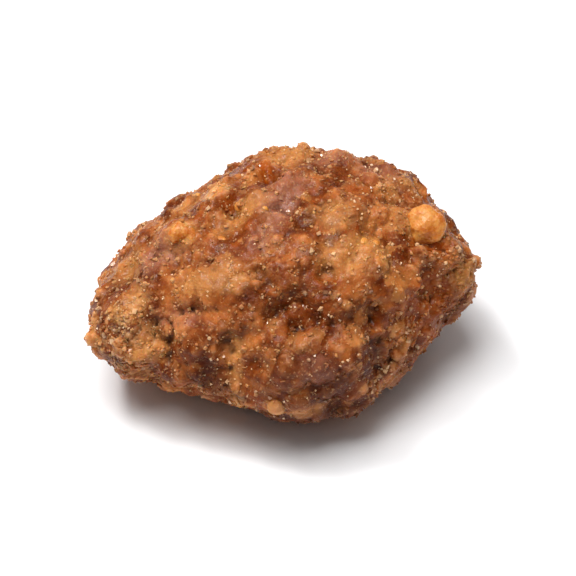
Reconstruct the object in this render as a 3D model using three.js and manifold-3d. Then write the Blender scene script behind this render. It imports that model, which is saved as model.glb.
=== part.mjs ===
// A honey roasted almond: one whole kernel inside a thick, uneven crust of cooked sugar and honey.
//
// Millimetres, +Z up. The pointed end is towards -X and the blunt end towards +X. The almond lies on its
// broad side on the plane z = 0, on the small flat that its warm crust took from the tray, and leans a
// little towards -Y. The origin is on that plane, under the middle of its box. It is one solid: crags,
// cobbles, pits, crumbs and beads of honey are all relief in its surface.
//
// A place on the almond is given by two numbers: "along" runs from -1 at the pointed end to 1 at the blunt
// end, and "around" is an angle in degrees about the long axis, with 0 on top, 90 at the front (-Y), 180
// underneath and 270 at the back.
import * as THREE from 'three';
import { ImprovedNoise } from 'three/addons/math/ImprovedNoise.js';
import { mergeVertices } from 'three/addons/utils/BufferGeometryUtils.js';
import Module from 'manifold-3d';

// The bare kernel.
const KERNEL_LENGTH = 20.8;
const KERNEL_WIDTH = 14.4;
const KERNEL_THICKNESS = 10.9;
const TIP_PINCH = 0.37; // share of its girth that the pointed end loses

// The crust over it.
const CRUST_MEAN = 1.66;
const CRUST_LEAST = 0.3;
const SWELLS = { size: 6.5, height: 0.26, shift: 3 }; // broad swells of the crust
const RIPPLES = { size: 1.1, height: 0.2, shift: 11 }; // small unevenness on and between the cobbles
const DOME_POWER = 1.4; // how pointed a lump with no crispness is
const HOLLOW_CRISP = 0.7;
const COBBLE_EDGE = 0.7; // a lower power gives cobbles a steeper edge
const EDGE_SIZE = 1.5; // how coarse the ragged edge of a lump or patch is
const EDGE_RAGGEDNESS = 0.42; // how far that edge strays, as a share of the lump's size
const EDGE_SHIFT = 5; // gives each feature's edge its own pattern

// How it lies.
const LEAN = 8; // degrees, top side towards the front
const NOSE_DOWN = 3; // degrees, pointed end towards the floor
const TRAY_FLAT = { along: -0.08, around: 169 }; // the lowest place of the almond
const TRAY_FLAT_DEPTH = 0.42; // how much of the underside the tray took
const TRAY_FLAT_REACH = 4.8; // the relief fades out this near to the middle of the flat

// Resolution of the faceted crust. The stretch brings more of its facets, and of what is scattered over it,
// to the broad sides than to the ends.
const CRUST_DETAIL = 21;
const SURFACE_STRETCH = [0.8, 0.95, 1.2];
const SEED = 7040;

const CRUST_COLOUR = 0x9d5d37;
const CRUST_ROUGHNESS = 0.55;

// Cobbles: the grains of crust that have run together, all over the almond.
const COBBLES = { count: 400, radius: [0.75, 1.6], height: [0.22, 0.7] };

// Pits, where a bubble of the boiling sugar burst.
const PITS = { count: 46, radius: [0.55, 0.95], depth: [0.3, 0.65] };
const SCATTER = 1.1; // how far both stray from even spacing, as a share of it

// Clumps of crust that stand out from the rest. Length is along the almond, and width goes round it.
// A turn swings the length towards the back, and crisp says how steep the edge is, from 0 to 1.
const CLUMPS = [
  { name: 'front lobe', along: 0.05, around: 82, length: 8.2, width: 7.0, height: 0.85, crisp: 0.8 },
  { name: 'foot of the lobe', along: 0.08, around: 110, length: 6.4, width: 3.4, height: 0.25, crisp: 0.5 },
  { name: 'nose, low', along: -0.93, around: 82, length: 4.2, width: 5.6, height: 0.85, crisp: 0.5 },
  { name: 'nose knob', along: -0.79, around: 66, length: 2.2, width: 1.9, height: 0.5, crisp: 0.75 },
  { name: 'nose top', along: -0.92, around: 30, length: 1.8, width: 1.7, height: 0.42, crisp: 0.7 },
  { name: 'ridge', along: -0.32, around: 337, length: 6.2, width: 2.3, height: 0.5, crisp: 0.6, turn: 27 },
  { name: 'ridge knob', along: -0.53, around: 347, length: 2.0, width: 1.6, height: 0.4, crisp: 0.7 },
  { name: 'back shoulder', along: 0.3, around: 302, length: 8.4, width: 5.2, height: 0.5, crisp: 0.4 },
  { name: 'shoulder knob', along: 0.2, around: 308, length: 2.2, width: 1.8, height: 0.32, crisp: 0.7 },
  { name: 'blunt shoulder', along: 0.77, around: 316, length: 3.6, width: 3.2, height: 0.4, crisp: 0.6 },
  { name: 'crown', along: 0.44, around: 2, length: 3.4, width: 3.2, height: 0.36, crisp: 0.5 },
  { name: 'amber swell', along: 0.42, around: 22, length: 4.2, width: 2.6, height: 0.36, crisp: 0.45 },
  { name: 'side swell', along: 0.63, around: 42, length: 3.2, width: 2.5, height: 0.4, crisp: 0.5, turn: 20 },
  { name: 'mid swell', along: -0.38, around: 23, length: 5.8, width: 2.6, height: 0.4, crisp: 0.5, turn: 9 },
  { name: 'lower swell', along: -0.45, around: 54, length: 4.6, width: 2.8, height: 0.36, crisp: 0.45 },
  { name: 'lower lip', along: -0.58, around: 84, length: 5, width: 1.8, height: 0.45, crisp: 0.7, turn: -8 },
  { name: 'blunt end', along: 0.97, around: 60, length: 3.6, width: 5.4, height: 0.75, crisp: 0.5 },
  { name: 'rim knob', along: 0.86, around: 28, length: 2.2, width: 2.0, height: 0.4, crisp: 0.65 },
  { name: 'back clump', along: -0.12, around: 262, length: 6.6, width: 4.8, height: 0.7, crisp: 0.7 },
  { name: 'blunt back', along: 0.62, around: 262, length: 4.4, width: 3.6, height: 0.5, crisp: 0.6, turn: 9 },
  { name: 'back nose clump', along: -0.68, around: 250, length: 4.2, width: 3.6, height: 0.5, crisp: 0.65 },
  { name: 'under clump', along: 0.6, around: 216, length: 4.2, width: 3.6, height: 0.4, crisp: 0.6 },
  { name: 'under nose clump', along: -0.74, around: 196, length: 3.6, width: 3.2, height: 0.4, crisp: 0.6 },
];

// Places where the crust is thin and the kernel's brown skin shows through it.
const BARE_PATCHES = [
  { name: 'upper patch', along: 0.05, around: 354, length: 5.6, width: 2.0, depth: 0.45, turn: 45 },
  { name: 'nose patch', along: -0.65, around: 4, length: 2.8, width: 2.1, depth: 0.45, turn: 15 },
  { name: 'lower nose patch', along: -0.6, around: 40, length: 2.2, width: 1.8, depth: 0.35 },
  { name: 'lobe patch', along: 0.12, around: 78, length: 2.4, width: 1.9, depth: 0.35 },
  { name: 'blunt patch', along: 0.7, around: 344, length: 2.6, width: 2.2, depth: 0.4, turn: 20 },
  { name: 'back patch', along: 0.3, around: 244, length: 5.4, width: 3.0, depth: 0.55, turn: 15 },
  { name: 'back nose patch', along: -0.42, around: 288, length: 4.2, width: 2.1, depth: 0.5, turn: -10 },
  { name: 'under patch', along: -0.5, around: 216, length: 4.2, width: 2.8, depth: 0.45 },
];

// Hollows and creases between the clumps.
const HOLLOWS = [
  { name: 'dimple above the lobe', along: 0.0, around: 44, length: 3.6, width: 2.2, depth: 1.0, turn: -10 },
  { name: 'crease left of lobe', along: -0.3, around: 56, length: 3.0, width: 1.3, depth: 0.7, turn: 35 },
  { name: 'crease right of lobe', along: 0.34, around: 55, length: 3.8, width: 1.3, depth: 0.7, turn: -14 },
  { name: 'end of the lobe', along: 0.5, around: 84, length: 1.5, width: 3.6, depth: 0.35 },
  { name: 'flank of the blunt end', along: 0.76, around: 82, length: 6.2, width: 7.0, depth: 0.7 },
  { name: 'behind the nose knob', along: -0.67, around: 64, length: 1.2, width: 1.9, depth: 0.75 },
  { name: 'above the nose', along: -0.86, around: 350, length: 2.8, width: 4.4, depth: 0.5 },
  { name: 'below the lip', along: -0.52, around: 106, length: 5.6, width: 2.2, depth: 0.6 },
  { name: 'beside the ridge', along: -0.23, around: 343, length: 1.7, width: 1.4, depth: 0.65, turn: 30 },
  { name: 'notch at the shoulder', along: 0.03, around: 328, length: 1.3, width: 1.3, depth: 0.5 },
  { name: 'below the ridge knob', along: -0.56, around: 357, length: 1.4, width: 1.1, depth: 0.5 },
  { name: 'under the bead', along: 0.79, around: 18, length: 2.6, width: 1.3, depth: 0.5, turn: -25 },
  { name: 'inside the blunt end', along: 0.82, around: 54, length: 1.6, width: 3.2, depth: 0.6 },
  { name: 'middle pit', along: 0.3, around: 354, length: 1.5, width: 1.1, depth: 0.45, turn: 30 },
  { name: 'back crease', along: 0.2, around: 270, length: 1.6, width: 5.4, depth: 0.65, turn: 22 },
  { name: 'back nose crease', along: -0.45, around: 256, length: 1.4, width: 4.4, depth: 0.55, turn: -15 },
];

// Crumbs: grains of sugar crust that stuck on last. The spread is the zone's reach in millimetres.
const CRUMB_ZONES = [
  { name: 'nose', along: -0.86, around: 62, spread: 2.6, count: 5, size: [0.38, 0.58] },
  { name: 'blunt end', along: 0.9, around: 40, spread: 3.2, count: 5, size: [0.38, 0.62] },
  { name: 'right of the lobe', along: 0.58, around: 80, spread: 2.4, count: 4, size: [0.38, 0.62] },
  { name: 'below the lip', along: -0.3, around: 106, spread: 3.0, count: 3, size: [0.38, 0.55] },
  { name: 'shoulder', along: 0.35, around: 318, spread: 4.6, count: 4, size: [0.38, 0.58] },
  { name: 'back', along: 0.0, around: 262, spread: 8.0, count: 8, size: [0.4, 0.65] },
];
// Single beads of hardened honey, each a round drop larger than a crumb.
const BEADS = [
  { name: 'right shoulder bead', along: 0.83, around: 3, radius: 1.1 },
  { name: 'back bead', along: 0.5, around: 282, radius: 0.9 },
];
const CRUMB_SINK = 0.6; // share of its size by which a crumb or bead is sunk into the crust
const CRUMB_STRETCH = [0.8, 1.3];
const CRUMB_GATHERING = 0.7; // 0.5 spreads a zone's crumbs evenly, and more gathers them at its middle
const BEAD_STRETCH = [0.8, 1.15];

const STEP = 0.01; // how far apart the points are that give the surface's directions
const MERGE_TOLERANCE = 1e-5;

const noise = new ImprovedNoise();
THREE.MathUtils.seededRandom(SEED);

/** The next seeded random number between two limits. */
function between([low, high]) {
  return low + (high - low) * THREE.MathUtils.seededRandom();
}

/** Smooth noise from -1 to 1 whose swells are about `size` across. The shift picks another part of it. */
function unevenness(point, size, shift) {
  return noise.noise(point.x / size + shift, point.y / size - shift, point.z / size + 2 * shift);
}

/** A unit vector from the long axis' middle towards a place on the almond. */
function direction(along, around) {
  const angle = THREE.MathUtils.degToRad(around);
  const off = Math.sqrt(1 - along * along);
  return new THREE.Vector3(along, -off * Math.sin(angle), off * Math.cos(angle));
}

/** The kernel's surface in one direction: a flattened drop, widest towards its blunt end. */
function kernelPoint(unit) {
  const towardsTip = (1 - unit.x) / 2;
  const girth = 1 - TIP_PINCH * towardsTip ** 3;
  return new THREE.Vector3(
    (unit.x * KERNEL_LENGTH) / 2,
    (unit.y * girth * KERNEL_WIDTH) / 2,
    (unit.z * girth * KERNEL_THICKNESS) / 2,
  );
}

/** A point, and the directions along, around and out of the kernel's surface there. */
function frameAt({ along, around, turn = 0 }) {
  const centre = kernelPoint(direction(along, around));
  const ahead = kernelPoint(direction(Math.min(along + STEP, 1), around));
  const behind = kernelPoint(direction(Math.max(along - STEP, -1), around));
  const lengthwise = ahead.sub(behind).normalize();
  const turned = kernelPoint(direction(along, around + THREE.MathUtils.radToDeg(STEP)));
  const sideways = turned.sub(centre).normalize();
  const outward = lengthwise.clone().cross(sideways).normalize();
  if (outward.dot(centre) < 0) outward.negate();
  const across = outward.clone().cross(lengthwise);
  const angle = THREE.MathUtils.degToRad(turn);
  lengthwise.applyAxisAngle(outward, angle);
  across.applyAxisAngle(outward, angle);
  return { centre, lengthwise, across, outward };
}

/** How far a kernel point is from a feature's middle, as a share of its reach, with a ragged edge. */
function reachOf(feature, point) {
  const away = point.clone().sub(feature.centre);
  const x = away.dot(feature.lengthwise) / (feature.length / 2);
  const y = away.dot(feature.across) / (feature.width / 2);
  const z = away.dot(feature.outward) / (feature.width / 2);
  const stray = 1 + EDGE_RAGGEDNESS * unevenness(point, EDGE_SIZE, feature.along * EDGE_SHIFT);
  return Math.hypot(x, y, z) * stray;
}

/** A rounded lump's height: 1 in the middle and 0 at its edge. A crisp one has a steeper edge. */
function domeOf(reach, crisp) {
  if (reach >= 1) return 0;
  return (1 - reach * reach) ** (DOME_POWER - crisp);
}

/** Moves a unit vector away from the ends, so that evenly spread ones lie evenly on the almond. */
function spread(unit) {
  return unit.multiply(new THREE.Vector3(...SURFACE_STRETCH)).normalize();
}

/** Evenly spread, slightly scattered places all over the almond, each in the middle of the crust. */
function scatteredCentres(count) {
  const golden = Math.PI * (3 - Math.sqrt(5));
  const scatter = SCATTER / Math.sqrt(count);
  return Array.from({ length: count }, (_, i) => {
    const along = 1 - (2 * i + 1) / count;
    const off = Math.sqrt(1 - along * along);
    const unit = new THREE.Vector3(along, off * Math.cos(golden * i), off * Math.sin(golden * i));
    unit.x += scatter * between([-1, 1]);
    unit.y += scatter * between([-1, 1]);
    unit.z += scatter * between([-1, 1]);
    spread(unit);
    const around = THREE.MathUtils.radToDeg(Math.atan2(-unit.y, unit.z));
    const { centre, outward } = frameAt({ along: unit.x, around });
    return centre.addScaledVector(outward, CRUST_MEAN);
  });
}

/** A feature together with the frame of its place. */
const withFrame = (feature) => ({ ...feature, ...frameAt(feature) });

const clumps = CLUMPS.map(withFrame);
const patches = BARE_PATCHES.map(withFrame);
const hollows = HOLLOWS.map(withFrame);
const cobbles = scatteredCentres(COBBLES.count).map((centre) => ({
  centre,
  radius: between(COBBLES.radius),
  height: between(COBBLES.height),
}));
const pits = scatteredCentres(PITS.count).map((centre) => ({
  centre,
  radius: between(PITS.radius),
  depth: between(PITS.depth),
}));
const trayFlat = frameAt(TRAY_FLAT);

/** Height of the cobbles at a point in the crust. The highest one counts, so creases stay between them. */
function cobbleHeight(point) {
  return cobbles.reduce((highest, cobble) => {
    const share = point.distanceTo(cobble.centre) / cobble.radius;
    return share < 1 ? Math.max(highest, cobble.height * (1 - share * share) ** COBBLE_EDGE) : highest;
  }, 0);
}

/** Depth of the pits at a point in the crust. */
function pitDepth(point) {
  return pits.reduce((deepest, pit) => {
    const share = point.distanceTo(pit.centre) / pit.radius;
    return share < 1 ? Math.max(deepest, pit.depth * (1 - share ** 3)) : deepest;
  }, 0);
}

/** Thickness of the crust over a kernel point, given the way out of the kernel there. */
function crustThickness(point, outward) {
  const inCrust = point.clone().addScaledVector(outward, CRUST_MEAN);
  const raised = clumps.reduce(
    (sum, clump) => sum + clump.height * domeOf(reachOf(clump, point), clump.crisp),
    0,
  );
  const sunk = [...patches, ...hollows].reduce(
    (sum, hollow) => sum + hollow.depth * domeOf(reachOf(hollow, point), HOLLOW_CRISP),
    0,
  );
  const ripple = RIPPLES.height * unevenness(inCrust, RIPPLES.size, RIPPLES.shift);
  const swell = SWELLS.height * unevenness(point, SWELLS.size, SWELLS.shift);
  const relief = ripple + swell + cobbleHeight(inCrust) - pitDepth(inCrust) - sunk;
  const fromTray = point.distanceTo(trayFlat.centre);
  const free = THREE.MathUtils.smoothstep(fromTray, TRAY_FLAT_REACH / 2, TRAY_FLAT_REACH);
  return Math.max(CRUST_LEAST, CRUST_MEAN + raised + relief * free);
}

/** The crust's outer surface, as one closed mesh. */
function crustGeometry() {
  const ball = new THREE.IcosahedronGeometry(1, CRUST_DETAIL);
  ball.deleteAttribute('normal');
  ball.deleteAttribute('uv');
  const geometry = mergeVertices(ball, MERGE_TOLERANCE);
  const position = geometry.attributes.position;
  const point = new THREE.Vector3();
  for (let i = 0; i < position.count; i++) {
    point.fromBufferAttribute(position, i);
    position.setXYZ(i, ...kernelPoint(spread(point)).toArray());
  }
  geometry.computeVertexNormals();
  const outward = new THREE.Vector3();
  for (let i = 0; i < position.count; i++) {
    point.fromBufferAttribute(position, i);
    outward.fromBufferAttribute(geometry.attributes.normal, i);
    point.addScaledVector(outward, crustThickness(point, outward));
    position.setXYZ(i, ...point.toArray());
  }
  geometry.deleteAttribute('normal');
  return geometry;
}

/** A grain that sits in the crust at one place: an icosahedron, stretched and turned at random. */
function grainGeometry(feature, radius, detail, stretch) {
  const { centre, outward } = frameAt(feature);
  const height = crustThickness(centre, outward) + radius * (1 - 2 * CRUMB_SINK);
  const grain = new THREE.IcosahedronGeometry(radius, detail);
  grain.scale(between(stretch), between(stretch), between(stretch));
  grain.rotateX(between([0, Math.PI]));
  grain.rotateZ(between([0, Math.PI]));
  grain.translate(...centre.addScaledVector(outward, height).toArray());
  grain.deleteAttribute('normal');
  grain.deleteAttribute('uv');
  return mergeVertices(grain, MERGE_TOLERANCE);
}

/** The crumbs of one zone, scattered round its middle. */
function crumbGeometries(zone) {
  return Array.from({ length: zone.count }, () => {
    const off = between([0, 1]) ** CRUMB_GATHERING * zone.spread;
    const heading = between([0, 2 * Math.PI]);
    const meanRadius = (KERNEL_WIDTH + KERNEL_THICKNESS) / 4;
    const along = zone.along + (off * Math.cos(heading)) / (KERNEL_LENGTH / 2);
    const degrees = THREE.MathUtils.radToDeg((off * Math.sin(heading)) / meanRadius);
    const place = { along: THREE.MathUtils.clamp(along, -1 + STEP, 1 - STEP), around: zone.around + degrees };
    return grainGeometry(place, between(zone.size), 0, CRUMB_STRETCH);
  });
}

const wasm = await Module();
wasm.setup();

/** A closed indexed geometry as a solid that can be joined and cut. */
function solidOf(geometry) {
  return new wasm.Manifold(
    new wasm.Mesh({
      numProp: 3,
      vertProperties: new Float32Array(geometry.attributes.position.array),
      triVerts: new Uint32Array(geometry.index.array),
    }),
  );
}

/** A solid's surface as a geometry. */
function geometryOf(solid) {
  const { numProp, vertProperties, triVerts } = solid.getMesh();
  const points = new Float32Array(vertProperties.length / numProp * 3);
  for (let i = 0; i < points.length / 3; i++) {
    points.set(vertProperties.subarray(i * numProp, i * numProp + 3), i * 3);
  }
  const geometry = new THREE.BufferGeometry();
  geometry.setAttribute('position', new THREE.BufferAttribute(points, 3));
  geometry.setIndex(new THREE.BufferAttribute(new Uint32Array(triVerts), 1));
  return geometry;
}

/** Turns a geometry from the kernel's own frame to the way that the almond lies. */
function lay(geometry) {
  geometry.rotateY(THREE.MathUtils.degToRad(-NOSE_DOWN));
  geometry.rotateX(THREE.MathUtils.degToRad(LEAN));
  return geometry;
}

/** The whole almond, with its underside cut flat at z = 0 and its box centred on the origin. */
function almondGeometry() {
  const crust = lay(crustGeometry());
  crust.computeBoundingBox();
  const floor = crust.boundingBox.min.z + TRAY_FLAT_DEPTH;
  const grains = [
    ...BEADS.map((bead) => grainGeometry(bead, bead.radius, 1, BEAD_STRETCH)),
    ...CRUMB_ZONES.flatMap(crumbGeometries),
  ];
  const whole = grains.reduce((sum, grain) => sum.add(solidOf(lay(grain))), solidOf(crust));
  const slab = new THREE.BoxGeometry(2 * KERNEL_LENGTH, 2 * KERNEL_LENGTH, KERNEL_LENGTH);
  slab.deleteAttribute('normal');
  slab.deleteAttribute('uv');
  slab.translate(0, 0, floor - KERNEL_LENGTH / 2);
  const geometry = geometryOf(whole.subtract(solidOf(mergeVertices(slab))));
  geometry.computeBoundingBox();
  const { min, max } = geometry.boundingBox;
  geometry.translate(-(min.x + max.x) / 2, -(min.y + max.y) / 2, -min.z);
  geometry.computeVertexNormals();
  return geometry;
}

const almond = new THREE.Mesh(
  almondGeometry(),
  new THREE.MeshStandardMaterial({
    color: CRUST_COLOUR,
    roughness: CRUST_ROUGHNESS,
    metalness: 0,
    flatShading: true,
  }),
);
almond.name = 'almond';

const group = new THREE.Group();
group.add(almond);
export default group;
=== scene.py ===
"""A honey roasted almond on a pale table, in soft studio light.

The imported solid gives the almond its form. The crust that shows is a fine mesh over that same form. It adds
the lumps, grains and pits that are too small for the solid, fills or deepens a few of its hollows and has its
own colours. Crumbs, sugar grains, drops of honey and sugar crystals lie on it. Shapes are worked out in
millimetres and written to the meshes in metres.
"""

import logging
import math
from dataclasses import dataclass, field
from enum import Enum

import bmesh
import bpy
import numpy as np
from mathutils import Matrix, Vector
from mathutils.bvhtree import BVHTree
from mathutils.kdtree import KDTree


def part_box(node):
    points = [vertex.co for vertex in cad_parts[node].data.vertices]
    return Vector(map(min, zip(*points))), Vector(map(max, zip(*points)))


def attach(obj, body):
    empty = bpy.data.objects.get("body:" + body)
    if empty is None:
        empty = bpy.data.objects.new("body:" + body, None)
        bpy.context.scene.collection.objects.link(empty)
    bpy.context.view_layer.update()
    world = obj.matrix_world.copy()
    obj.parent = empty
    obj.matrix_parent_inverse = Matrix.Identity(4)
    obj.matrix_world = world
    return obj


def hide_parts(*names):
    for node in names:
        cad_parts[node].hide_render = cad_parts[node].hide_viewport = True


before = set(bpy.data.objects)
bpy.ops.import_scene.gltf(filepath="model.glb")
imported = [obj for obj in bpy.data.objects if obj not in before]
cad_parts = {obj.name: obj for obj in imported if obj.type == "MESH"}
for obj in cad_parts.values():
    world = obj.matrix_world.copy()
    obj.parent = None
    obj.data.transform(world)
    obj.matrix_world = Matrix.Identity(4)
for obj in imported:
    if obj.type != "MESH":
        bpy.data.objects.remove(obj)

LOG = logging.getLogger("almond")
MM = 0.001
SEED = 7040
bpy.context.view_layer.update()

Rgb = tuple[float, float, float]
Shape = tuple[np.ndarray, np.ndarray]
Socket = bpy.types.NodeSocket


class Tone(Enum):
    """The colours that the crust takes in places, some of them painted: the shade mask is mostly painted
    shade and the seed-coat mask is partly painted sheen. Each is a mask on the crust's mesh.
    """

    GOLD = "gold"
    AMBER = "amber"
    SKIN = "skin"
    DARK = "dark"


class Trait(Enum):
    """What else the crust's mesh keeps at each point, for the finishes to read."""

    GLAZE = "glaze"
    SANDY = "sandy"
    NODULE_TINT = "nodule_tint"
    GRAIN_TINT = "grain_tint"
    FINE_RELIEF = "fine_relief"
    MID_RELIEF = "mid_relief"
    BROAD_RELIEF = "broad_relief"


class Working(Enum):
    """How a shader makes one value of two."""

    ADD = "ADD"
    MULTIPLY = "MULTIPLY"


class LightRole(Enum):
    """What a lamp is for."""

    KEY = "key"
    SPARK = "spark"
    RIM = "rim"
    FILL = "fill"


@dataclass(frozen=True)
class Patch:
    """A place on the crust with a ragged edge, for a colour or for crumbs.

    Along runs from -1 at the pointed end to 1 at the blunt end. Around is in degrees about the long axis: 0
    on top, 90 at the front, 180 underneath and 270 at the back. Length and width are in millimetres, strength
    is how much it covers in its middle, and turn is how many degrees the length swings towards the back.
    """

    along: float
    around: float
    length: float
    width: float
    strength: float = 1.0
    turn: float = 0.0


@dataclass(frozen=True)
class Spot:
    """A point on the crust, in millimetres, with the directions along, across and out of it."""

    point: np.ndarray
    lengthwise: np.ndarray
    across: np.ndarray
    outward: np.ndarray


@dataclass(frozen=True)
class Range:
    """A lowest and a highest value."""

    low: float
    high: float

    def skewed(self, rng: np.random.Generator, count: int) -> np.ndarray:
        """Random values from the range, more of them low than high."""
        skew = 1.5
        return self.low + (self.high - self.low) * rng.random(count) ** skew

    def even(self, rng: np.random.Generator) -> float:
        """One random value from the range."""
        return rng.uniform(self.low, self.high)


@dataclass(frozen=True)
class Ramp:
    """A smooth step: low where a value is at the start, and high where it is at the end."""

    start: float
    end: float
    low: float = 0.0
    high: float = 1.0

    def at(self, values: np.ndarray) -> np.ndarray:
        """The step's height at each value."""
        share = np.clip((values - self.start) / (self.end - self.start), 0.0, 1.0)
        return self.low + (self.high - self.low) * (share * share * (3 - 2 * share))


@dataclass(frozen=True)
class Domes:
    """Rounded lumps or pits scattered over the crust: how many, their radii and their heights in mm."""

    count: int
    radius: Range
    height: Range
    steepness: float


@dataclass(frozen=True)
class Batch:
    """Small things of one size: how many, how wide in mm, and how likely they are outside their zones."""

    count: int
    width: Range
    spread: float


@dataclass(frozen=True)
class Lie:
    """How small things lie on the crust.

    Breadth and height are shares of the width. Sink is the share of the height that is under the surface, and
    tilt is how far a thing leans.
    """

    breadth: Range
    height: Range
    sink: float
    tilt: float


@dataclass(frozen=True)
class Pattern:
    """Noise in a finish: a swell's width in mm, the finer layers, their strength and a step to read it by."""

    size: float
    detail: float
    roughness: float
    ramp: Ramp | None = None


@dataclass(frozen=True)
class Texture:
    """Fine relief in a finish: ripples with packed grains on top, and how high each is in mm."""

    ripple: Pattern
    ripple_height: float
    grain: float
    grain_height: float


class Grit:
    """Smooth seeded noise in three dimensions, on a lattice of cells that repeats.

    Origin keeps the almond away from the lattice's own origin. Gain and layered peak bring the values to
    between about -1 and 1. Each finer layer is shifted, and weaker by the layer fade.
    """

    CELLS = 256
    ORIGIN = 100.37
    GAIN = 1.6
    LAYER_SHIFT = 17.0
    LAYER_FADE = 1.8
    LAYERED_PEAK = 1.6

    def __init__(self, seed: int) -> None:
        """Draws the lattice of the noise.

        Args:
            seed: picks the pattern.
        """
        rng = np.random.default_rng(seed)
        slopes = rng.normal(size=(self.CELLS, 3))
        self.slopes = slopes / np.linalg.norm(slopes, axis=1, keepdims=True)
        order = rng.permutation(self.CELLS)
        self.order = np.concatenate([order, order])

    def at(self, points: np.ndarray, size: float) -> np.ndarray:
        """The noise at some points.

        Args:
            points: n by 3, in millimetres.
            size: how wide one swell of the noise is, in millimetres.

        Returns:
            n values between about -1 and 1.
        """
        scaled = points / size + self.ORIGIN
        cell = np.floor(scaled).astype(int)
        inside = scaled - cell
        ease = inside**3 * (inside * (inside * 6 - 15) + 10)
        total = np.zeros(len(points))
        for corner in np.ndindex(2, 2, 2):
            x, y, z = ((cell + corner) % self.CELLS).T
            slope = self.slopes[self.order[self.order[self.order[x] + y] + z]]
            share = np.prod(np.where(corner, ease, 1 - ease), axis=1)
            total += share * ((inside - corner) * slope).sum(axis=1)
        return total * self.GAIN

    def layered(self, points: np.ndarray, size: float, layers: int = 3) -> np.ndarray:
        """Noise with finer and weaker noise on top.

        Args:
            points: n by 3, in millimetres.
            size: how wide the widest swells are, in millimetres.
            layers: how many layers, each half the size of the one before.

        Returns:
            n values between about -1 and 1.
        """
        total = np.zeros(len(points))
        for layer in range(layers):
            moved = points + self.LAYER_SHIFT * layer
            total += self.at(moved, size / 2**layer) / self.LAYER_FADE**layer
        return total / self.LAYERED_PEAK


def linear(colour: Rgb) -> tuple[float, float, float, float]:
    """Turns a colour as seen on a screen into what a shader takes.

    Args:
        colour: red, green and blue from 0 to 255.

    Returns:
        Linear red, green, blue and alpha.
    """
    shares = [c / 255 for c in colour]
    return (*[s / 12.92 if s <= 0.04045 else ((s + 0.055) / 1.055) ** 2.4 for s in shares], 1.0)


class Surface:
    """A mesh's points, normals and edges as arrays, in millimetres.

    Smoothing is the share of the way to its neighbours' mean that a point moves in each round, and swelling
    is the share that it moves away again where the form keeps its size.
    """

    SMOOTHING = 0.55
    SWELLING = 0.57

    def __init__(self, mesh: bpy.types.Mesh) -> None:
        """Reads the arrays.

        Args:
            mesh: a mesh whose coordinates are in millimetres.
        """
        count = len(mesh.vertices)
        self.points = np.empty(count * 3)
        mesh.vertices.foreach_get("co", self.points)
        self.points = self.points.reshape(-1, 3)
        self.normals = np.empty(count * 3, dtype=np.float32)
        mesh.vertex_normals.foreach_get("vector", self.normals)
        self.normals = self.normals.reshape(-1, 3).astype(float)
        edges = np.empty(len(mesh.edges) * 2, dtype=np.int32)
        mesh.edges.foreach_get("vertices", edges)
        self.ends = edges.reshape(-1, 2).T
        self.neighbours = np.maximum(np.bincount(edges, minlength=count), 1)[:, None]
        self.values: dict[Tone | Trait, np.ndarray] = {}

    def averaged(self, values: np.ndarray) -> np.ndarray:
        """The mean of each point's neighbours.

        Args:
            values: n by k values, one row for each point.

        Returns:
            n by k means.
        """
        first, second = self.ends
        count = len(values)
        columns = [
            np.bincount(first, values[second, k], count) + np.bincount(second, values[first, k], count)
            for k in range(values.shape[1])
        ]
        return np.stack(columns, axis=1) / self.neighbours

    def smoothed(self, points: np.ndarray, rounds: int, keep_size: bool) -> np.ndarray:
        """Evens out the points.

        Args:
            points: n by 3 positions.
            rounds: how many times each point moves towards its neighbours' mean.
            keep_size: whether each round is followed by one that swells the form back.

        Returns:
            n by 3 smoother positions.
        """
        for _ in range(rounds):
            points = points + self.SMOOTHING * (self.averaged(points) - points)
            if keep_size:
                points = points - self.SWELLING * (self.averaged(points) - points)
        return points

    def proud(self, points: np.ndarray, rounds: int, full: float) -> np.ndarray:
        """How far each point stands out of its surroundings.

        Args:
            points: n by 3 positions.
            rounds: how wide the surroundings are, in rounds of smoothing.
            full: the height in millimetres that counts as 1.

        Returns:
            n values from -1 in a hollow to 1 on a peak.
        """
        height = ((points - self.smoothed(points, rounds, False)) * self.normals).sum(axis=1)
        return np.clip(height / full, -1.0, 1.0)


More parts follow.
